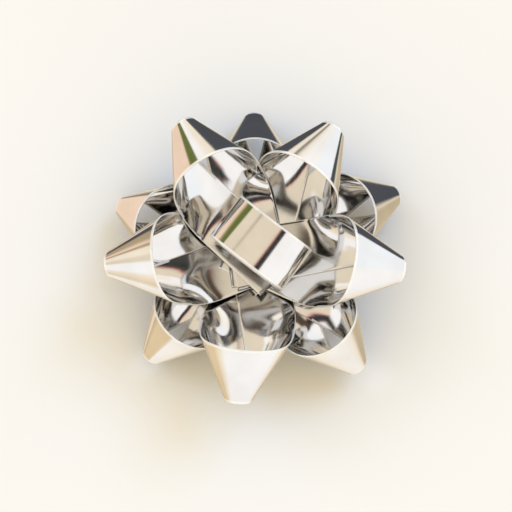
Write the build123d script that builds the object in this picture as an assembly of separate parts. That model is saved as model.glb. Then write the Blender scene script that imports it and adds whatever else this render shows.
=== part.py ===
"""Pre-made star gift bow: eleven loops of mirror ribbon stapled to a card with an adhesive pad.

The origin is the centre of the flat underside, on the release liner, and +Z runs up the bow's
axis through the centre loop. Millimetres throughout.
"""

from build123d import *
import os
from bisect import bisect_right
from math import asin, atan, atan2, cos, hypot, pi, radians, sin, sqrt

# ---- driving dimensions ----------------------------------------------------------------
ribbon_width = 4.8
film = 0.12  # ribbon thickness
layer_pitch = 0.15  # one ribbon layer to the next in the stapled stack
fit_gap = 0.03  # air between pieces that lie on each other

liner_thickness = 0.1
liner_gap = 0.02  # glue line between the liner and the pad
tab_reach = 8.6  # end of the liner's finger tab, from the axis
tab_width = 4.4
tab_angle = 245.0
pad_thickness = 1.0
pad_radius = 5.0
card_thickness = 0.3
card_radius = 5.2

wire_radius = 0.22
wire_bend = 0.26
leg_offset = 1.6  # staple leg to the bow's axis
clinch_end = 0.35  # the bent-in leg ends this far from the axis
staple_angle = -38.0  # the staple lies along the centre loop

# ---- loops from the lowest layer up: azimuth, rise and roll in degrees, reach in mm -------
# The reach is how far the point of the cone that the loop is wrapped on lies from the axis.
lower_loops = [
    (92, -8, 0, 13.9),
    (222, -10.5, 2, 14.1),
    (25, -12.5, -2, 14.5),
    (158, -14, -10, 14.3),
    (312, -13, 0, 14.3),
]
upper_loops = [
    (263, 17.5, 1, 15.3),
    (58, 15, -1, 14.6),
    (185, 15, 0, 14.9),
    (352, 15, 0, 14.7),
    (120, 14, -1, 14.7),
]
lower_section = 1.2  # width over height of the cone that a lower loop is wrapped on
upper_section = 1.4
lower_bend = (5.4, 7.9)  # from here to here out from the axis a loop bends to its rise
upper_bend = (2.7, 5.2)
tip_gap = 1.8  # cone point to the ribbon's outer edge
tail_overrun = 2.6  # ribbon past the bow's axis at each end of a loop
crossing_from, crossing_over = 0.5, 5.0  # the two tails part to their own layers over this
flat_until, full_beyond = 4.5, 8.0  # the stack presses the ribbon flat near the axis
roll_from, roll_over = 3.0, 6.0  # a loop's roll grows over this distance
loop_columns, loop_rows = 101, 5  # stations along and across a loop's ribbon
near_tip = 0.3  # below 1, the stations crowd towards the tip

# ---- centre loop ---------------------------------------------------------------------------
centre_height = 5.7
centre_half_length = 3.75
centre_shoulder = 0.55  # height of its widest place, as a share of the height
centre_flat = 2.1  # half of the flat length that the staple holds
centre_fullness = 0.66  # how square its four bends are: 0.55 is round
centre_width = 4.3
centre_offset = 0.8  # sideways shift of its foot from the staple
centre_tilt = 7.0  # degrees that its top faces back over the staple
centre_columns = 81

# ---- levels --------------------------------------------------------------------------------
pad_bottom = liner_thickness + liner_gap
card_bottom = pad_bottom + pad_thickness
card_top = card_bottom + card_thickness
first_layer = card_top + fit_gap + film / 2  # middle of the lowest ribbon layer
centre_layer = first_layer + 2 * (len(lower_loops) + len(upper_loops)) * layer_pitch
stack_top = centre_layer + layer_pitch + film / 2
crown_level = stack_top + fit_gap + wire_radius
clinch_level = card_bottom - fit_gap - wire_radius


def ease(x):
    """Rise smoothly from 0 to 1 while x goes from 0 to 1."""
    x = min(max(x, 0.0), 1.0)
    return x * x * (3 - 2 * x)


class WrapCone:
    """An elliptic cone, point outwards, that a straight ribbon wraps round without stretching.

    The cone lies on the plane z = 0 along the -X direction from its point, and `half_wrap` is
    the angle, measured on the flat ribbon, from the top of the cone round to that plane.
    """

    steps = 300

    def __init__(self, section, half_wrap):
        self.section = section
        self.half_wrap = half_wrap
        low, high = 0.05, 2.0
        for _ in range(50):
            self.slope = (low + high) / 2
            self.measure()
            if self.angles[-1] > half_wrap:
                high = self.slope
            else:
                low = self.slope

    def ray(self, turn):
        """Unit direction from the cone's point, `turn` radians round from the top."""
        tilt = atan(self.slope)
        up = self.slope * cos(turn)
        x = -cos(tilt) + up * sin(tilt)
        y = self.section * self.slope * sin(turn)
        z = sin(tilt) + up * cos(tilt)
        size = sqrt(x * x + y * y + z * z)
        return x / size, y / size, z / size

    def measure(self):
        """Tabulate the flat angle that the ribbon has used up after each step of turn."""
        self.angles = [0.0]
        last = self.ray(0.0)
        for step in range(1, self.steps + 1):
            here = self.ray(pi * step / self.steps)
            chord = sqrt(sum((a - b) ** 2 for a, b in zip(here, last)))
            self.angles.append(self.angles[-1] + chord)
            last = here

    def flat_direction(self, angle):
        """Direction at a flat angle from the top on the ribbon laid out flat."""
        past = angle - self.half_wrap
        return -cos(past), -sin(past), 0.0

    def direction(self, angle):
        """Direction at a flat angle from the top; past the wrap the ribbon runs on flat."""
        if angle > self.half_wrap:
            return self.flat_direction(angle)
        index = min(max(bisect_right(self.angles, angle), 1), self.steps)
        before, after = self.angles[index - 1], self.angles[index]
        turn = pi * (index - 1 + (angle - before) / (after - before)) / self.steps
        return self.ray(turn)


def bend_up(x, z, rise, start, end):
    """Turn the point (x, z) up by `rise` radians through an arc between start and end."""
    turn = rise * min(max((x - start) / (end - start), 0.0), 1.0)
    along, height = x, 0.0
    if x > start:
        radius = (end - start) / rise
        past = max(x - end, 0.0)
        along = start + radius * sin(turn) + past * cos(turn)
        height = radius * (1 - cos(turn)) + past * sin(turn)
    return along - z * sin(turn), height + z * cos(turn)


def loop_point(cone, reach, rise, roll, zone, side, across):
    """One point of a loop lying along +X: `side` mm along the ribbon, `across` mm over it."""
    from_point = tip_gap + across
    distance = hypot(side, from_point)
    angle = atan2(abs(side), from_point)
    wrapped = cone.direction(angle)
    flat = cone.flat_direction(angle)
    out = hypot(reach + distance * wrapped[0], distance * wrapped[1])
    share = ease((out - flat_until) / (full_beyond - flat_until))
    x, y, z = (distance * (share * w + (1 - share) * f) for w, f in zip(wrapped, flat))
    x += reach
    y = y if side >= 0 else -y
    crossing = layer_pitch / 2 * ease((abs(side) - crossing_from) / crossing_over)
    z += crossing if side >= 0 else -crossing
    turned = roll * ease((x - roll_from) / roll_over)
    y, z = y * cos(turned) - z * sin(turned), y * sin(turned) + z * cos(turned)
    x, z = bend_up(x, z, rise, *zone)
    return Vector(x, y, z)


def ribbon_solid(grid):
    """Ribbon of the film's thickness about a grid of points: columns along it, rows across."""
    sections = []
    last_column, last_row = len(grid) - 1, len(grid[0]) - 1
    for i, column in enumerate(grid):
        front, back = [], []
        for j, point in enumerate(column):
            along = grid[min(i + 1, last_column)][j] - grid[max(i - 1, 0)][j]
            across = column[min(j + 1, last_row)] - column[max(j - 1, 0)]
            half = along.cross(across).normalized() * (film / 2)
            front.append(point + half)
            back.append(point - half)
        edges = [
            Edge.make_spline(front),
            Edge.make_line(front[-1], back[-1]),
            Edge.make_spline(back[::-1]),
            Edge.make_line(back[0], front[0]),
        ]
        sections.append(Wire(edges))
    return Solid.make_loft(sections, ruled=True)


def leg_holes():
    """Cutters for the two staple legs, all the way through the stack."""
    hole = Cylinder(wire_radius + fit_gap, 4 * stack_top)
    return [Rot(0, 0, staple_angle) * Pos(x, 0, 0) * hole for x in (-leg_offset, leg_offset)]


def cone_loop(layer, azimuth, rise, roll, reach, section, zone):
    """A ribbon loop wrapped into a cone, with its two tails crossing on the bow's axis."""
    middle = tip_gap + ribbon_width / 2
    cone = WrapCone(section, pi / 2 - asin(middle / reach))
    half_length = sqrt(reach**2 - middle**2) + tail_overrun
    grid = []
    for column in range(loop_columns):
        place = 2 * column / (loop_columns - 1) - 1
        side = half_length * (near_tip * place + (1 - near_tip) * place**3)
        rows = [ribbon_width * row / (loop_rows - 1) for row in range(loop_rows)]
        grid.append([loop_point(cone, reach, radians(rise), radians(roll), zone, side, w) for w in rows])
    level = first_layer + (2 * layer + 0.5) * layer_pitch
    return Pos(0, 0, level) * Rot(0, 0, azimuth) * ribbon_solid(grid) - leg_holes()


def quarter_bend(start, end, from_side):
    """A quarter of the centre loop, from start to end; from_side bends start upright, not flat."""
    if from_side:
        first = (start[0], start[1] + centre_fullness * (end[1] - start[1]))
        second = (end[0] - centre_fullness * (end[0] - start[0]), end[1])
    else:
        first = (start[0] + centre_fullness * (end[0] - start[0]), start[1])
        second = (end[0], end[1] - centre_fullness * (end[1] - start[1]))
    return Bezier(start, first, second, end)


def centre_loop():
    """The upright ring of ribbon in the middle, its two ends one on the other under the staple."""
    low, high = centre_layer, centre_layer + layer_pitch
    widest = low + centre_height * centre_shoulder
    foot = (centre_flat, low)
    near_side = (centre_half_length, widest)
    top = (0, low + centre_height)
    far_side = (-centre_half_length, widest)
    far_foot = (-centre_flat, high)
    path = Wire(
        [
            Line((-centre_flat, low), foot).edge(),
            quarter_bend(foot, near_side, False).edge(),
            quarter_bend(near_side, top, True).edge(),
            quarter_bend(top, far_side, False).edge(),
            quarter_bend(far_side, far_foot, True).edge(),
            Line(far_foot, (centre_flat, high)).edge(),
        ]
    )
    grid = []
    for column in range(centre_columns):
        spot = path @ (column / (centre_columns - 1))
        share = (spot.Y - low) / centre_height
        tilt = radians(centre_tilt) * share
        middle = centre_offset - centre_height * radians(centre_tilt) * share**2 / 2
        edges = (-centre_width / 2, centre_width / 2)
        grid.append(
            [Vector(spot.X, middle + e * cos(tilt), spot.Y + e * sin(tilt)) for e in edges]
        )
    return Rot(0, 0, staple_angle) * ribbon_solid(grid) - leg_holes()


def staple():
    """Wire staple: crown inside the centre loop, legs through the stack, ends bent in below."""
    corners = [
        (-clinch_end, 0, clinch_level),
        (-leg_offset, 0, clinch_level),
        (-leg_offset, 0, crown_level),
        (leg_offset, 0, crown_level),
        (leg_offset, 0, clinch_level),
        (clinch_end, 0, clinch_level),
    ]
    path = FilletPolyline(*corners, radius=wire_bend)
    section = Plane(origin=corners[0], z_dir=(-1, 0, 0)) * Circle(wire_radius)
    return Rot(0, 0, staple_angle) * sweep(section, path=path)


def card():
    """Round card that the ribbon is stapled to, with the two leg holes."""
    disc = extrude(Circle(card_radius), card_thickness)
    return Pos(0, 0, card_bottom) * disc - leg_holes()


def adhesive_pad():
    """Double-sided foam disc, with a pocket where it is pressed over the bent-in legs."""
    disc = Pos(0, 0, pad_bottom) * extrude(Circle(pad_radius), pad_thickness)
    length = 2 * (leg_offset + wire_radius + fit_gap)
    width = 2 * (wire_radius + fit_gap)
    depth = card_bottom - clinch_level + wire_radius + fit_gap
    pocket = Pos(0, 0, card_bottom - depth) * extrude(SlotOverall(length, width), 2 * depth)
    return disc - Rot(0, 0, staple_angle) * pocket


def release_liner():
    """Peel-off paper disc with a finger tab that sticks out past the pad."""
    tab = Pos(tab_reach / 2, 0) * RectangleRounded(tab_reach, tab_width, tab_width / 2.5)
    outline = Circle(pad_radius) + Rot(0, 0, tab_angle) * tab
    return extrude(outline, liner_thickness)


def write(shape, name):
    """Export one sub-part and print what it measures."""
    shape.label = name
    export_step(shape, f"parts/{name}.step")
    box = shape.bounding_box()
    heights = f"z {box.min.Z:6.2f} to {box.max.Z:6.2f}"
    print(f"{name:16s} {shape.volume:8.3f} mm3  {heights}  valid {shape.is_valid}")


os.makedirs("parts", exist_ok=True)
for number, loop in enumerate(lower_loops):
    write(cone_loop(number, *loop, lower_section, lower_bend), f"lower_loop_{number + 1}")
for number, loop in enumerate(upper_loops):
    layer = len(lower_loops) + number
    write(cone_loop(layer, *loop, upper_section, upper_bend), f"upper_loop_{number + 1}")
write(centre_loop(), "centre_loop")
write(staple(), "staple")
write(card(), "base_card")
write(adhesive_pad(), "adhesive_pad")
write(release_liner(), "release_liner")
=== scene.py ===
"""Looks of the pre-made star gift bow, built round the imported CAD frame.

Every ribbon loop is rebuilt as a fine film mesh on the same wrap as its CAD node, and the card,
foam pad, staple and release liner as finished pieces. Lengths are in millimetres until a mesh is
made, which turns them into metres.
"""

import bpy
import numpy as np
from math import asin, atan, cos, pi, radians, sin, sqrt
from mathutils import Matrix, Vector


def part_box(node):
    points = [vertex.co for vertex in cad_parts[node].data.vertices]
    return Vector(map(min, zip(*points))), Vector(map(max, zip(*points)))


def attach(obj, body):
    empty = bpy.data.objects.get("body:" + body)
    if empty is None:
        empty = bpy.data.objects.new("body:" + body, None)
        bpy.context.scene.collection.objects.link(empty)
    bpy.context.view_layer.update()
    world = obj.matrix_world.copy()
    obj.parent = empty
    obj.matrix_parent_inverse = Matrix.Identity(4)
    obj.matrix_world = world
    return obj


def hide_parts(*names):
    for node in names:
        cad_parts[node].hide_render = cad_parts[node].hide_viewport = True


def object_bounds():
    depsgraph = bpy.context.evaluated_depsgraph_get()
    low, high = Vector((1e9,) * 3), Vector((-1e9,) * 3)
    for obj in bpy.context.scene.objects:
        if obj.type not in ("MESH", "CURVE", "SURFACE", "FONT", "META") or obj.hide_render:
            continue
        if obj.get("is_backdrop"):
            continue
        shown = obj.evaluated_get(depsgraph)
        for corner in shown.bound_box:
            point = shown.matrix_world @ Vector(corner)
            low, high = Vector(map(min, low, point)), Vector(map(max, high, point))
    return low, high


MM = 0.001

# ---- ribbon: the frame's driving dimensions -------------------------------------------------
RIBBON_WIDTH = 4.8
FILM = 0.12
LAYER_PITCH = 0.15
FIT_GAP = 0.03  # air between pieces that lie on each other
TIP_GAP = 1.8  # cone point to the ribbon's outer edge
TAIL_OVERRUN = 2.6
CROSSING_FROM, CROSSING_OVER = 0.5, 5.0
FLAT_UNTIL, FULL_BEYOND = 4.5, 8.0
ROLL_FROM, ROLL_OVER = 3.0, 6.0
NEAR_TIP = 0.3

# azimuth, rise and roll in degrees, reach in mm, from the lowest layer up
LOWER_LOOPS = [
    (92, -8, 0, 13.9),
    (222, -10.5, 2, 14.1),
    (25, -12.5, -2, 14.5),
    (158, -14, -10, 14.3),
    (312, -13, 0, 14.3),
]
UPPER_LOOPS = [
    (263, 17.5, 1, 15.3),
    (58, 15, -1, 14.6),
    (185, 15, 0, 14.9),
    (352, 15, 0, 14.7),
    (120, 14, -1, 14.7),
]
LOWER_SECTION, UPPER_SECTION = 1.2, 1.4
LOWER_BEND, UPPER_BEND = (5.4, 7.9), (2.7, 5.2)

STAPLE_ANGLE = -38.0
CENTRE_HEIGHT = 5.7
CENTRE_HALF_LENGTH = 3.75
CENTRE_SHOULDER = 0.55
CENTRE_FLAT = 2.1
CENTRE_FULLNESS = 0.66
CENTRE_WIDTH = 4.3
CENTRE_OFFSET = 0.8
CENTRE_TILT = 7.0

# ---- how finely the film is made ---------------------------------------------------------------
LOOP_COLUMNS = 281
CENTRE_COLUMNS = 241
FILM_ROWS = 13  # across the flat of the ribbon, on each face
EDGE_STEPS = 4  # round each cut edge
PAINTED_HIGHLIGHT_MARGIN = 0.16  # painted highlight: margin of each face beside a cut edge, in the edge material, mm
LOOP_HIGHLIGHT_REACH = 7.0  # how far that painted highlight runs each way from a cone's point, mm
RIPPLE = 0.012  # height of the film's faint buckles, mm
SHEET_SIDES, SHEET_RINGS = 192, 10  # of the card, foam and liner

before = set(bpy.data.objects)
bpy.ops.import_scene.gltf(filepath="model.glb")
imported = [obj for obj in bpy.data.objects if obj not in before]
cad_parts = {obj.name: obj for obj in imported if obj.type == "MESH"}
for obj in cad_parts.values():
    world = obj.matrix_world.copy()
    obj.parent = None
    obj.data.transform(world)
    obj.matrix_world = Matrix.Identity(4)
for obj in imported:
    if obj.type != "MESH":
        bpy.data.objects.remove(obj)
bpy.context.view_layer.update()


def level(node, end):
    """Lowest (end 0) or highest (end 1) z of a CAD node, in mm."""
    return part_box(node)[end].z / MM


FIRST_LAYER = level("base_card", 1) + FIT_GAP + FILM / 2
CENTRE_LAYER = level("centre_loop", 0) + FILM / 2


# ---- node helpers ----------------------------------------------------------------------------------
def new_material(name):
    """An empty node material and its Principled shader."""
    material = bpy.data.materials.new(name)
    material.use_nodes = True
    return material, material.node_tree, material.node_tree.nodes["Principled BSDF"]


def add_node(tree, kind, values=(), **settings):
    """Add a node, set its properties, then its inputs from (input, value or socket) pairs."""
    node = tree.nodes.new(kind)
    for key, value in settings.items():
        setattr(node, key, value)
    for name, value in values:
        if isinstance(value, bpy.types.NodeSocket):
            tree.links.new(value, node.inputs[name])
        else:
            node.inputs[name].default_value = value
    return node


def ramp(tree, factor, stops):
    """A colour ramp through (position, grey or colour) stops."""
    node = add_node(tree, "ShaderNodeValToRGB", [("Fac", factor)])
    points = node.color_ramp.elements
    while len(points) < len(stops):
        points.new(0.5)
    for point, (position, colour) in zip(points, stops):
        point.position = position
        point.color = (*((colour,) * 3 if isinstance(colour, (int, float)) else colour), 1)
    return node.outputs["Color"]


def noise(tree, scale, detail=3.0, stretch=(1, 1, 1)):
    """Object-space noise, its scale in features per millimetre."""
    place = add_node(tree, "ShaderNodeTexCoord").outputs["Object"]
    mapping = add_node(tree, "ShaderNodeMapping", [("Vector", place), ("Scale", stretch)])
    pairs = [("Vector", mapping.outputs["Vector"]), ("Scale", scale / MM), ("Detail", detail)]
    return add_node(tree, "ShaderNodeTexNoise", pairs).outputs["Fac"]


def bump(tree, shader, height, strength, depth):
    """Fine relief, `depth` in millimetres."""
    pairs = [("Height", height), ("Strength", strength), ("Distance", depth * MM)]
    node = add_node(tree, "ShaderNodeBump", pairs)
    tree.links.new(node.outputs["Normal"], shader.inputs["Normal"])


# ---- materials ---------------------------------------------------------------------------------------
def mirror_film():
    """Metallised film: a clear mirror with a faint drag of polish lines along the ribbon."""
    material, tree, shader = new_material("mirror_film")
    along = add_node(tree, "ShaderNodeUVMap", uv_map="ribbon").outputs["UV"]
    lines = add_node(tree, "ShaderNodeMapping", [("Vector", along), ("Scale", (0.35, 14.0, 1.0))])
    pairs = [("Vector", lines.outputs["Vector"]), ("Scale", 1.0), ("Detail", 4.0)]
    drag = add_node(tree, "ShaderNodeTexNoise", pairs).outputs["Fac"]
    haze = noise(tree, 0.35, 2.0)
    tint = ramp(tree, haze, [(0.3, (0.70, 0.69, 0.675)), (0.7, (0.76, 0.752, 0.74))])
    gloss = ramp(tree, drag, [(0.3, 0.07), (0.75, 0.12)])
    tree.links.new(tint, shader.inputs["Base Color"])
    tree.links.new(gloss, shader.inputs["Roughness"])
    shader.inputs["Metallic"].default_value = 1.0
    bump(tree, shader, drag, 0.08, 0.01)
    return material


def cut_edge_and_highlight():
    """The film's slit edge, its clear plastic core made near-white as a painted highlight, and the
    painted highlight margin on the faces beside it.
    """
    material, tree, shader = new_material("film_cut_edge_and_painted_highlight")
    grain = noise(tree, 3.0, 3.0)
    tint = ramp(tree, grain, [(0.25, (0.88, 0.875, 0.86)), (0.75, (0.97, 0.965, 0.955))])
    tree.links.new(tint, shader.inputs["Base Color"])
    shader.inputs["Metallic"].default_value = 0.35
    shader.inputs["Roughness"].default_value = 0.25
    return material


def bright_wire():
    """Drawn staple wire: bright steel with draw lines."""
    material, tree, shader = new_material("staple_wire")
    drawn = noise(tree, 6.0, 3.0, stretch=(0.2, 0.2, 1.0))
    tree.links.new(ramp(tree, drawn, [(0.3, 0.50), (0.7, 0.68)]), shader.inputs["Base Color"])
    tree.links.new(ramp(tree, drawn, [(0.3, 0.20), (0.7, 0.36)]), shader.inputs["Roughness"])
    shader.inputs["Metallic"].default_value = 1.0
    bump(tree, shader, drawn, 0.2, 0.01)
    return material


def white_card():
    """Uncoated card: off-white, with short fibres and a soft tooth."""
    material, tree, shader = new_material("white_card")
    fibre = noise(tree, 2.2, 6.0)
    tone = ramp(tree, fibre, [(0.35, (0.80, 0.785, 0.75)), (0.65, (0.90, 0.89, 0.865))])
    tree.links.new(tone, shader.inputs["Base Color"])
    shader.inputs["Roughness"].default_value = 0.82
    bump(tree, shader, fibre, 0.5, 0.02)
    return material


def white_foam():
    """Closed-cell foam: small round cells, a dull surface."""
    material, tree, shader = new_material("white_foam")
    place = add_node(tree, "ShaderNodeTexCoord").outputs["Object"]
    pairs = [("Vector", place), ("Scale", 5.5 / MM)]
    cells = add_node(tree, "ShaderNodeTexVoronoi", pairs, feature="SMOOTH_F1").outputs["Distance"]
    tone = ramp(tree, cells, [(0.0, (0.70, 0.70, 0.675)), (0.55, (0.90, 0.90, 0.88))])
    tree.links.new(tone, shader.inputs["Base Color"])
    shader.inputs["Roughness"].default_value = 0.7
    shader.inputs["Subsurface Weight"].default_value = 0.15
    shader.inputs["Subsurface Radius"].default_value = (0.6 * MM, 0.6 * MM, 0.5 * MM)
    bump(tree, shader, cells, 0.7, 0.05)
    return material


def release_paper():
    """Silicone-coated release paper: cream, waxy on the side towards the glue."""
    material, tree, shader = new_material("release_paper")
    mottle = noise(tree, 1.1, 5.0)
    tone = ramp(tree, mottle, [(0.35, (0.86, 0.835, 0.77)), (0.65, (0.93, 0.915, 0.87))])
    tree.links.new(tone, shader.inputs["Base Color"])
    tree.links.new(ramp(tree, mottle, [(0.3, 0.30), (0.7, 0.42)]), shader.inputs["Roughness"])
    shader.inputs["Coat Weight"].default_value = 0.25
    shader.inputs["Coat Roughness"].default_value = 0.3
    bump(tree, shader, mottle, 0.25, 0.015)
    return material


# ---- the wrap: numpy form of the frame's geometry --------------------------------------------------
def ease(x):
    """Rise smoothly from 0 to 1 while x goes from 0 to 1."""
    x = np.clip(x, 0.0, 1.0)
    return x * x * (3 - 2 * x)


class WrapCone:
    """The elliptic cone, lying on z = 0 along -X from its point, that a loop is wrapped on."""

    def __init__(self, section, half_wrap):
        self.section, self.half_wrap = section, half_wrap
        self.turns = np.linspace(0, pi, 1201)
        low, high = 0.05, 2.0
        for _ in range(50):
            self.slope = (low + high) / 2
            rays = self.ray(self.turns)
            chords = np.linalg.norm(np.diff(rays, axis=1), axis=0)
            self.angles = np.concatenate([[0], np.cumsum(chords)])
            if self.angles[-1] > half_wrap:
                high = self.slope
            else:
                low = self.slope

    def ray(self, turn):
        """Unit directions from the cone's point, `turn` radians round from the top."""
        tilt = atan(self.slope)
        up = self.slope * np.cos(turn)
        rays = np.stack(
            [
                up * sin(tilt) - cos(tilt),
                self.section * self.slope * np.sin(turn),
                up * cos(tilt) + sin(tilt),
            ]
        )
        return rays / np.linalg.norm(rays, axis=0)

    def directions(self, angle):
        """Directions wrapped on the cone and on the flat ribbon, at flat angles from the top."""
        past = angle - self.half_wrap
        flat = np.stack([-np.cos(past), -np.sin(past), np.zeros_like(past)])
        wrapped = self.ray(np.interp(angle, self.angles, self.turns))
        return np.where(past > 0, flat, wrapped), flat


def bend_up(x, z, rise, start, end):
    """Turn the points (x, z) up by `rise` radians through an arc between start and end."""
    turn = rise * np.clip((x - start) / (end - start), 0.0, 1.0)
    radius = (end - start) / rise
    past = np.maximum(x - end, 0.0)
    along = np.where(x > start, start + radius * np.sin(turn) + past * np.cos(turn), x)
    height = radius * (1 - np.cos(turn)) + past * np.sin(turn)
    return along - z * np.sin(turn), height + z * np.cos(turn)


def loop_surface(azimuth, rise, roll, reach, section, zone, base, phase):
    """Function that places ribbon coordinates (side, across) on one loop, in mm."""
    middle = TIP_GAP + RIBBON_WIDTH / 2
    cone = WrapCone(section, pi / 2 - asin(middle / reach))
    turn = radians(azimuth)

    def place(side, across):
        from_point = TIP_GAP + across
        distance = np.hypot(side, from_point)
        wrapped, flat = cone.directions(np.arctan2(np.abs(side), from_point))
        out = np.hypot(reach + distance * wrapped[0], distance * wrapped[1])
        share = ease((out - FLAT_UNTIL) / (FULL_BEYOND - FLAT_UNTIL))
        x, y, z = distance * (share * wrapped + (1 - share) * flat)
        x = x + reach
        sign = np.where(side >= 0, 1.0, -1.0)
        y = y * sign
        z = z + sign * LAYER_PITCH / 2 * ease((np.abs(side) - CROSSING_FROM) / CROSSING_OVER)
        turned = radians(roll) * ease((x - ROLL_FROM) / ROLL_OVER)
        y, z = y * np.cos(turned) - z * np.sin(turned), y * np.sin(turned) + z * np.cos(turned)
        x, z = bend_up(x, z, radians(rise), *zone)
        spot = np.stack([x * cos(turn) - y * sin(turn), x * sin(turn) + y * cos(turn), z + base])
        return spot, share * buckle(side, across, phase)

    return place, sqrt(reach**2 - middle**2) + TAIL_OVERRUN


def buckle(side, across, phase):
    """Faint buckles of a film that has been wound, twisted and pressed, in mm."""
    long_wave = np.sin(0.55 * side + 0.5 * across + 2.1 * phase)
    cross_wave = np.sin(1.25 * side - 0.8 * across + 3.7 * phase)
    fade = ease((np.abs(side) - 0.4) / 2.5)
    return RIPPLE * fade * (0.65 * long_wave + 0.35 * cross_wave)


def quarter_bend(start, end, from_side):
    """Points of a quarter of the centre loop; from_side bends start upright, not flat."""
    (x0, z0), (x1, z1) = start, end
    if from_side:
        handles = (x0, z0 + CENTRE_FULLNESS * (z1 - z0)), (x1 - CENTRE_FULLNESS * (x1 - x0), z1)
    else:
        handles = (x0 + CENTRE_FULLNESS * (x1 - x0), z0), (x1, z1 - CENTRE_FULLNESS * (z1 - z0))
    p0, p1, p2, p3 = (np.array(point, float) for point in (start, *handles, end))
    t = np.linspace(0, 1, 400)[:, None]
    return (1 - t) ** 3 * p0 + 3 * t * (1 - t) ** 2 * p1 + 3 * t**2 * (1 - t) * p2 + t**3 * p3


def centre_surface():
    """Function that places ribbon coordinates on the centre loop, in mm, and its half length."""
    low, high = CENTRE_LAYER, CENTRE_LAYER + LAYER_PITCH
    widest = low + CENTRE_HEIGHT * CENTRE_SHOULDER
    foot, far_foot = (CENTRE_FLAT, low), (-CENTRE_FLAT, high)
    near_side, far_side = (CENTRE_HALF_LENGTH, widest), (-CENTRE_HALF_LENGTH, widest)
    top = (0, low + CENTRE_HEIGHT)
    bends = [
        quarter_bend(foot, near_side, False)[:-1],
        quarter_bend(near_side, top, True)[:-1],
        quarter_bend(top, far_side, False)[:-1],
        quarter_bend(far_side, far_foot, True),
    ]
    path = np.concatenate([[(-CENTRE_FLAT, low)], *bends, [(CENTRE_FLAT, high)]])
    run = np.concatenate([[0], np.cumsum(np.linalg.norm(np.diff(path, axis=0), axis=1))])
    turn, tilt_at_top = radians(STAPLE_ANGLE), radians(CENTRE_TILT)

    def place(side, across):
        along = side + run[-1] / 2
        x, z = np.interp(along, run, path[:, 0]), np.interp(along, run, path[:, 1])
        share = (z - low) / CENTRE_HEIGHT
        middle = CENTRE_OFFSET - CENTRE_HEIGHT * tilt_at_top * share**2 / 2
        from_middle = (across - RIBBON_WIDTH / 2) * CENTRE_WIDTH / RIBBON_WIDTH
        y = middle + from_middle * np.cos(tilt_at_top * share)
        z = z + from_middle * np.sin(tilt_at_top * share)
        spot = np.stack([x * cos(turn) - y * sin(turn), x * sin(turn) + y * cos(turn), z])
        return spot, ease((share - 0.1) / 0.3) * buckle(side, across, 7.3)

    return place, run[-1] / 2


# ---- meshes -------------------------------------------------------------------------------------------
def film_outline():
    """The film's cross-section as (across, lift): both faces and both rounded edges."""
    half = FILM / 2
    # face rows start at the painted highlight's margin beside each edge
    inner = np.linspace(half + PAINTED_HIGHLIGHT_MARGIN, RIBBON_WIDTH - half - PAINTED_HIGHLIGHT_MARGIN, FILM_ROWS)
    flat = [half, *inner, RIBBON_WIDTH - half]
    turns = [pi * (step + 0.5) / EDGE_STEPS for step in range(EDGE_STEPS)]
    front = [(w, half) for w in flat]
    far = [(RIBBON_WIDTH - half + half * sin(a), half * cos(a)) for a in turns]
    back = [(w, -half) for w in flat[::-1]]
    near = [(half - half * sin(a), -half * cos(a)) for a in turns]
    return front + far + back + near


def film_mesh(name, surface, half_length, columns, crowd, highlight_reach):
    """A ribbon piece with real thickness on a surface, with a ribbon UV map in millimetres.

    The painted highlight beside each cut edge, a margin of the edge material on each face, runs the last
    argument in mm each way from the middle.
    """
    place = np.linspace(-1, 1, columns)
    side = half_length * (crowd * place + (1 - crowd) * place**3)
    outline = film_outline()
    across = np.array([point[0] for point in outline])
    lift = np.array([point[1] for point in outline])
    sides, widths = np.meshgrid(side, across, indexing="ij")
    small = 1e-3
    spot, wave = surface(sides, widths)
    ahead, _ = surface(sides + small, widths)
    behind, _ = surface(sides - small, widths)
    right, _ = surface(sides, widths + small)
    left, _ = surface(sides, widths - small)
    normal = np.cross(ahead - behind, right - left, axis=0)
    normal /= np.linalg.norm(normal, axis=0)
    points = spot + normal * (lift + wave)
    around = len(outline)
    vertices = (points * MM).transpose(1, 2, 0).reshape(-1, 3)
    faces, edge_and_highlight_faces, uvs = [], [], []
    for i in range(columns - 1):
        here, there = side[i], side[i + 1]
        # painted highlight: face strips within the margin beside a cut edge take the edge material, near
        # the middle only
        highlight_margin = PAINTED_HIGHLIGHT_MARGIN if abs(here + there) / 2 < highlight_reach else 0.0
        for j in range(around):
            k = (j + 1) % around
            faces.append((i * around + j, i * around + k, (i + 1) * around + k, (i + 1) * around + j))
            middle = (across[j] + across[k]) / 2
            edge_and_highlight_faces.append(min(middle, RIBBON_WIDTH - middle) < FILM / 2 + highlight_margin)
            uvs += [(here, across[j]), (here, across[k]), (there, across[k]), (there, across[j])]
    first = tuple(range(around))
    last = tuple((columns - 1) * around + j for j in reversed(range(around)))
    for cap, station in ((first, side[0]), (last, side[-1])):
        faces.append(cap)
        edge_and_highlight_faces.append(True)
        uvs += [(station, across[j % around]) for j in cap]
    mesh = bpy.data.meshes.new(name)
    mesh.from_pydata([tuple(v) for v in vertices], [], faces)
    mesh.uv_layers.new(name="ribbon").data.foreach_set("uv", np.array(uvs, np.float32).ravel())
    mesh.materials.append(FILM_MATERIAL)
    # second material: the cut edge and the painted highlight beside it
    mesh.materials.append(EDGE_AND_HIGHLIGHT_MATERIAL)
    mesh.polygons.foreach_set("material_index", np.array(edge_and_highlight_faces, np.int32))
    mesh.polygons.foreach_set("use_smooth", np.ones(len(faces), bool))
    mesh.polygons[-1].use_smooth = mesh.polygons[-2].use_smooth = False
    mesh.validate()
    return mesh


def add_piece(name, mesh, body, node):
    """Put a finished mesh in the scene in place of its CAD node."""
    piece = bpy.data.objects.new(name, mesh)
    bpy.context.scene.collection.objects.link(piece)
    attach(piece, body)
    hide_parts(node)
    return piece


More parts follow.
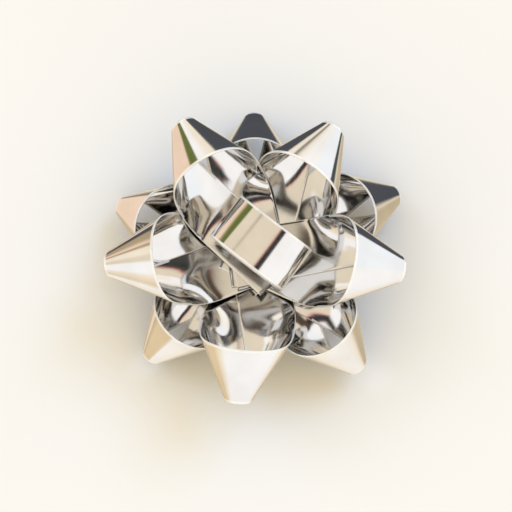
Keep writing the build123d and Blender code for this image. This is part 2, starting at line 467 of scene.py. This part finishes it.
def turned_sheet(name, outline, sections, material):
    """A flat piece from an outline function r(angle): sections are (inset, z) from below up."""
    angles = np.linspace(0, 2 * pi, SHEET_SIDES, endpoint=False)
    radii = np.array([outline(angle) for angle in angles])
    (low_inset, low), (high_inset, high) = sections[0], sections[-1]
    shares = [k / SHEET_RINGS for k in range(1, SHEET_RINGS)]
    shells = [(share, low_inset, low) for share in shares]
    shells += [(1.0, inset, z) for inset, z in sections]
    shells += [(share, high_inset, high) for share in reversed(shares)]
    vertices, faces = [], []
    for share, inset, z in shells:
        for angle, radius in zip(angles, radii):
            r = (radius - inset) * share
            vertices.append((r * cos(angle), r * sin(angle), z))
    bottom, top = len(vertices), len(vertices) + 1
    vertices += [(0, 0, low), (0, 0, high)]
    for shell in range(len(shells) - 1):
        for i in range(SHEET_SIDES):
            j = (i + 1) % SHEET_SIDES
            a, b = shell * SHEET_SIDES, (shell + 1) * SHEET_SIDES
            faces.append((a + i, a + j, b + j, b + i))
    last = (len(shells) - 1) * SHEET_SIDES
    for i in range(SHEET_SIDES):
        j = (i + 1) % SHEET_SIDES
        faces.append((j, i, bottom))
        faces.append((last + i, last + j, top))
    mesh = bpy.data.meshes.new(name)
    mesh.from_pydata([tuple(c * MM for c in v) for v in vertices], [], faces)
    mesh.materials.append(material)
    mesh.polygons.foreach_set("use_smooth", np.ones(len(faces), bool))
    mesh.validate()
    return mesh


# ---- pieces -----------------------------------------------------------------------------------------
FILM_MATERIAL = mirror_film()
# the edge material also paints the highlight on the faces beside each cut edge
EDGE_AND_HIGHLIGHT_MATERIAL = cut_edge_and_highlight()


def make_loops(tier, loops, first_layer, section, zone):
    """The five cone loops of one tier."""
    for number, (azimuth, rise, roll, reach) in enumerate(loops):
        layer = first_layer + number
        base = FIRST_LAYER + (2 * layer + 0.5) * LAYER_PITCH
        surface, half = loop_surface(azimuth, rise, roll, reach, section, zone, base, layer)
        node = f"{tier}_loop_{number + 1}"
        # the painted highlight runs a set reach either side of the cone's point
        mesh = film_mesh(f"{node}_film", surface, half, LOOP_COLUMNS, NEAR_TIP, LOOP_HIGHLIGHT_REACH)
        add_piece(f"{node}_film", mesh, "bow", node)


def make_centre_loop():
    """The upright ring of ribbon in the middle."""
    surface, half = centre_surface()
    # the painted highlight runs the whole length of the ring
    mesh = film_mesh("centre_loop_film", surface, half, CENTRE_COLUMNS, 1.0, half)
    add_piece("centre_loop_film", mesh, "bow", "centre_loop")


def make_card():
    """Die-cut card disc with its slightly rolled edge."""
    low, high = level("base_card", 0), level("base_card", 1)
    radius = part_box("base_card")[1].x / MM
    lip = 0.05
    sections = [(lip, low), (0.0, low + lip), (0.0, high - lip), (lip, high)]
    mesh = turned_sheet("card_disc", lambda angle: radius, sections, white_card())
    add_piece("card_disc", mesh, "bow", "base_card")


def make_pad():
    """Foam disc whose cut wall bellies out a little between its glued faces."""
    low, high = level("adhesive_pad", 0), level("adhesive_pad", 1)
    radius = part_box("adhesive_pad")[1].x / MM
    waist = 0.12
    belly = [(waist - waist * sin(pi * t), low + (high - low) * t) for t in np.linspace(0, 1, 9)]
    mesh = turned_sheet("foam_disc", lambda angle: radius, belly, white_foam())
    pad = add_piece("foam_disc", mesh, "bow", "adhesive_pad")


def make_staple():
    """The CAD staple keeps its shape and gets its wire finish."""
    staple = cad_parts["staple"]
    staple.material_slots[0].material = bright_wire()


def make_liner():
    """Release liner: the disc with its finger tab, the tab lifted a little off the table."""
    low, high = level("release_liner", 0), level("release_liner", 1)
    disc, reach, half_width, corner = 5.0, 8.6, 2.2, 1.76
    tab = radians(245.0)
    steps = 120  # places tried along the tab for its outline
    bevel, bevel_height = 0.02, 0.03
    curl, curl_from = 0.05, disc + 0.2

    def outline(angle):
        away = (angle - tab + pi) % (2 * pi) - pi
        best = disc
        for step in range(1, steps + 1):
            r = disc + (reach - disc) * step / steps
            x, y = r * cos(away), abs(r * sin(away))
            past_x, past_y = max(x - (reach - corner), 0), max(y - (half_width - corner), 0)
            if x > 0 and (past_x**2 + past_y**2) ** 0.5 <= corner:
                best = r
        return best

    sections = [
        (bevel, low),
        (0.0, low + bevel_height),
        (0.0, high - bevel_height),
        (bevel, high),
    ]
    mesh = turned_sheet("liner_sheet", outline, sections, release_paper())
    for vertex in mesh.vertices:
        along = (vertex.co.x * cos(tab) + vertex.co.y * sin(tab)) / MM
        vertex.co.z += curl * max(along - curl_from, 0.0) ** 2 * MM
    add_piece("liner_sheet", mesh, "liner", "release_liner")


# ---- studio -------------------------------------------------------------------------------------------
WHITE, CREAM, BEIGE = (1.0, 0.985, 0.975), (0.95, 0.85, 0.70), (0.80, 0.70, 0.55)
SAND, TAN, UMBER = (0.78, 0.61, 0.39), (0.44, 0.34, 0.21), (0.56, 0.46, 0.31)
BLUSH, PINK, PLUM = (0.90, 0.69, 0.53), (0.75, 0.42, 0.36), (0.12, 0.035, 0.04)
OLIVE, PINE, BARK = (0.13, 0.16, 0.035), (0.018, 0.032, 0.03), (0.085, 0.06, 0.04)
SLATE, SKY = (0.075, 0.080, 0.092), (0.95, 0.97, 1.0)
AMBIENT, BACKDROP = (1, 0.86, 0.61), (0.93, 0.925, 0.915)
DAYLIGHT, LIGHT_SPREAD = (0.24, 0.52, 1.0), 30.0  # colour and degrees across of each light
ROOM_POWER, SCATTERED_POWER, AMBIENT_POWER = 1.26, 0.31, 1.07
ANGLE_WARP, SLANT_WARP = 0.03, 0.08  # how far the bands waver

# bands of the room: (angle or side, colour)
ROOM_BANDS = [
    (-180, UMBER), (-165, UMBER), (-140, CREAM), (-100, WHITE), (-34, WHITE), (-28, BEIGE),
    (42, BEIGE), (48, CREAM), (60, WHITE), (70, CREAM), (75, SLATE), (140, SLATE),
    (152, BEIGE), (165, UMBER), (180, UMBER),
]
WALL_BANDS = [
    (-180, UMBER), (-160, SAND), (-100, SAND), (-60, CREAM), (-48, WHITE), (-12, WHITE),
    (-4, BEIGE), (8, BEIGE), (16, CREAM), (40, CREAM), (48, TAN), (98, TAN), (106, SLATE),
    (122, SLATE), (130, BLUSH),
]
SHELF_BANDS = [
    (-0.60, BLUSH), (-0.52, BEIGE), (0.08, BEIGE), (0.12, PINK), (0.16, PLUM), (0.24, PLUM),
    (0.27, CREAM), (0.36, CREAM), (0.44, WHITE),
]
BAR_BANDS = [
    (0.50, BEIGE), (0.535, BEIGE), (0.55, PINK), (0.565, PLUM), (0.58, PINE), (0.615, PINE),
    (0.63, PLUM), (0.645, WHITE),
]


def make_floor():
    """Plain matte white table."""
    mesh = bpy.data.meshes.new("table")
    half = 3.0
    corners = [(-half, -half, 0), (half, -half, 0), (half, half, 0), (-half, half, 0)]
    mesh.from_pydata(corners, [], [(0, 1, 2, 3)])
    material, tree, shader = new_material("table_white")
    tone = ramp(tree, noise(tree, 0.02, 2.0), [(0.3, (0.90, 0.897, 0.89)), (0.7, (0.93, 0.928, 0.92))])
    tree.links.new(tone, shader.inputs["Base Color"])
    shader.inputs["Roughness"].default_value = 0.9
    shader.inputs["Specular IOR Level"].default_value = 0.1
    mesh.materials.append(material)
    floor = bpy.data.objects.new("table", mesh)
    floor.location.z = -0.02 * MM
    floor.visible_glossy = False
    bpy.context.scene.collection.objects.link(floor)
    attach(floor, "liner")
    floor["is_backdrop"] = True


def make_world():
    """Plain pale room, with the light and dark things round it that the mirror film picks up.

    Its bands run by the angle about X from straight up (0) towards +Y (90 degrees) and -Y (-90),
    and by the side, from -X (-1) to +X (1).
    """
    world = bpy.data.worlds.new("studio")
    bpy.context.scene.world = world
    world.use_nodes = True
    tree = world.node_tree
    tree.nodes.clear()

    def calc(operation, *inputs):
        pairs = list(enumerate(inputs))
        return add_node(tree, "ShaderNodeMath", pairs, operation=operation).outputs[0]

    def lay(share, below, above):
        """One colour laid over another, as far as `share` goes."""
        if not isinstance(above, bpy.types.NodeSocket):
            above = (*above, 1)
        pairs = [("Fac", share), ("Color1", below), ("Color2", above)]
        return add_node(tree, "ShaderNodeMixRGB", pairs).outputs[0]

    def by_angle(stops):
        return ramp(tree, turn, [(0.5 + degrees / 360, colour) for degrees, colour in stops])

    def by_side(stops):
        return ramp(tree, side, [(0.5 + x / 2, colour) for x, colour in stops])

    def patch(angle_stops, side_stops):
        return calc("MULTIPLY", by_angle(angle_stops), by_side(side_stops))

    direction = add_node(tree, "ShaderNodeTexCoord").outputs["Generated"]
    pairs = [("Vector", direction), ("Scale", 1.6), ("Detail", 1.0)]
    warp = add_node(tree, "ShaderNodeTexNoise", pairs).outputs["Fac"]
    axes = add_node(tree, "ShaderNodeSeparateXYZ", [("Vector", direction)]).outputs
    angle = calc("ARCTAN2", axes["Y"], axes["Z"])
    plain_turn = calc("MULTIPLY_ADD", angle, 1 / (2 * pi), 0.5)
    turn = calc("MULTIPLY_ADD", warp, ANGLE_WARP, calc("ADD", plain_turn, -ANGLE_WARP / 2))
    side = calc("MULTIPLY_ADD", axes["X"], 0.5, 0.5)
    staple_line = (cos(radians(STAPLE_ANGLE)), sin(radians(STAPLE_ANGLE)), 0)
    pairs = [(0, direction), (1, staple_line)]
    along = add_node(tree, "ShaderNodeVectorMath", pairs, operation="DOT_PRODUCT").outputs["Value"]
    wavy = calc("MULTIPLY_ADD", warp, SLANT_WARP, calc("ADD", along, -SLANT_WARP / 2))
    slant = calc("MULTIPLY_ADD", wavy, 0.5, 0.5)

    # the room all round, and overhead a dark bar that crosses it at the centre loop's slant
    room = by_angle(ROOM_BANDS)
    overhead = by_angle([(-36, 0), (-31, 1), (38, 1), (44, 0)])
    room = lay(overhead, room, ramp(tree, slant, BAR_BANDS))
    # a dim shape near the zenith, and the shelf behind it
    dim_shape = patch(
        [(6, 0), (9, 1), (22, 1), (26, 0)],
        [(-0.42, 0), (-0.36, 1), (0.36, 1), (0.44, 0)],
    )
    room = lay(dim_shape, room, BARK)
    room = lay(by_angle([(42, 0), (44, 1), (54, 1), (57, 0)]), room, by_side(SHELF_BANDS))
    # two pale breaks in the dark far side
    near_break = patch(
        [(62, 0), (68, 1), (87, 1), (91, 0)],
        [(-0.50, 0), (-0.44, 1), (-0.10, 1), (-0.04, 0)],
    )
    room = lay(near_break, room, CREAM)
    low_break = patch([(124, 0), (130, 1), (150, 1), (156, 0)], [(-0.46, 1), (-0.40, 0)])
    room = lay(low_break, room, BLUSH)
    # the left wall, its far edge, a green leaf in front of it, and the window on the right
    room = lay(by_side([(-0.68, 1), (-0.60, 0)]), room, by_angle(WALL_BANDS))
    wall_edge = patch([(54, 0), (57, 1), (146, 1), (152, 0)], [(-0.79, 1), (-0.765, 0)])
    room = lay(wall_edge, room, BLUSH)
    leaf = patch(
        [(25, 0), (28, 1), (62, 1), (64, 0)],
        [(-0.76, 0), (-0.745, 1), (-0.58, 1), (-0.55, 0)],
    )
    room = lay(leaf, room, OLIVE)
    window = patch([(-22, 0), (-16, 1), (90, 1), (96, 0)], [(0.5, 0), (0.62, 1)])
    room = lay(window, room, SKY)

    # the mirror film sees the room; matt surfaces get a soft warm light that is strongest overhead
    ray = add_node(tree, "ShaderNodeLightPath").outputs
    scattered = calc("GREATER_THAN", ray["Diffuse Depth"], 0.5)
    room_power = calc("MULTIPLY_ADD", scattered, SCATTERED_POWER - ROOM_POWER, ROOM_POWER)
    pairs = [("Color", room), ("Strength", room_power)]
    reflected = add_node(tree, "ShaderNodeBackground", pairs).outputs[0]
    height = ramp(tree, axes["Z"], [(0.10, 0.30), (0.55, 1.0)])
    pairs = [("Color", (*AMBIENT, 1)), ("Strength", calc("MULTIPLY", height, AMBIENT_POWER))]
    ambient = add_node(tree, "ShaderNodeBackground", pairs).outputs[0]
    backdrop = add_node(tree, "ShaderNodeBackground", [("Color", (*BACKDROP, 1))]).outputs[0]
    pairs = [("Fac", ray["Is Glossy Ray"]), (1, ambient), (2, reflected)]
    lit = add_node(tree, "ShaderNodeMixShader", pairs).outputs[0]
    pairs = [("Fac", ray["Is Camera Ray"]), (1, lit), (2, backdrop)]
    seen = add_node(tree, "ShaderNodeMixShader", pairs).outputs[0]
    add_node(tree, "ShaderNodeOutputWorld", [("Surface", seen)])


def make_sun(name, azimuth, elevation, strength):
    """A broad soft light from far off, azimuth counted from -Y towards +X."""
    light = bpy.data.lights.new(name, "SUN")
    light.energy, light.color, light.angle = strength, DAYLIGHT, radians(LIGHT_SPREAD)
    holder = bpy.data.objects.new(name, light)
    a, e = radians(azimuth), radians(elevation)
    away = Vector((sin(a) * cos(e), -cos(a) * cos(e), sin(e)))
    holder.rotation_mode = "QUATERNION"
    holder.rotation_quaternion = away.to_track_quat("Z", "Y")
    holder.visible_glossy = False
    bpy.context.scene.collection.objects.link(holder)


def make_camera(tilt, swing, distance):
    """Long lens near the bow's axis, tilted towards -Y and swung towards +X, in degrees and metres."""
    data = bpy.data.cameras.new("camera")
    data.lens, data.sensor_width = 240.0, 36.0
    data.clip_start, data.clip_end = 0.01, 10.0
    camera = bpy.data.objects.new("camera", data)
    low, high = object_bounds()
    target = Vector(((low.x + high.x) / 2, (low.y + high.y) / 2, high.z * 0.45))
    t, s = radians(tilt), radians(swing)
    away = Vector((sin(s) * cos(t), -sin(t), cos(s) * cos(t)))
    right = Vector((0, 1, 0)).cross(away).normalized()
    turn = Matrix((right, away.cross(right), away)).transposed()
    camera.matrix_world = Matrix.Translation(target + away * distance) @ turn.to_4x4()
    bpy.context.scene.collection.objects.link(camera)
    bpy.context.scene.camera = camera


make_loops("lower", LOWER_LOOPS, 0, LOWER_SECTION, LOWER_BEND)
make_loops("upper", UPPER_LOOPS, len(LOWER_LOOPS), UPPER_SECTION, UPPER_BEND)
make_centre_loop()
make_card()
make_pad()
make_staple()
make_liner()
make_floor()
make_world()
make_sun("key_light", 132, 42, 1.2)
make_sun("side_light", -122, 38, 0.6)
make_camera(8.0, 2.5, 0.29)
bpy.context.scene.view_settings.view_transform = "Standard"
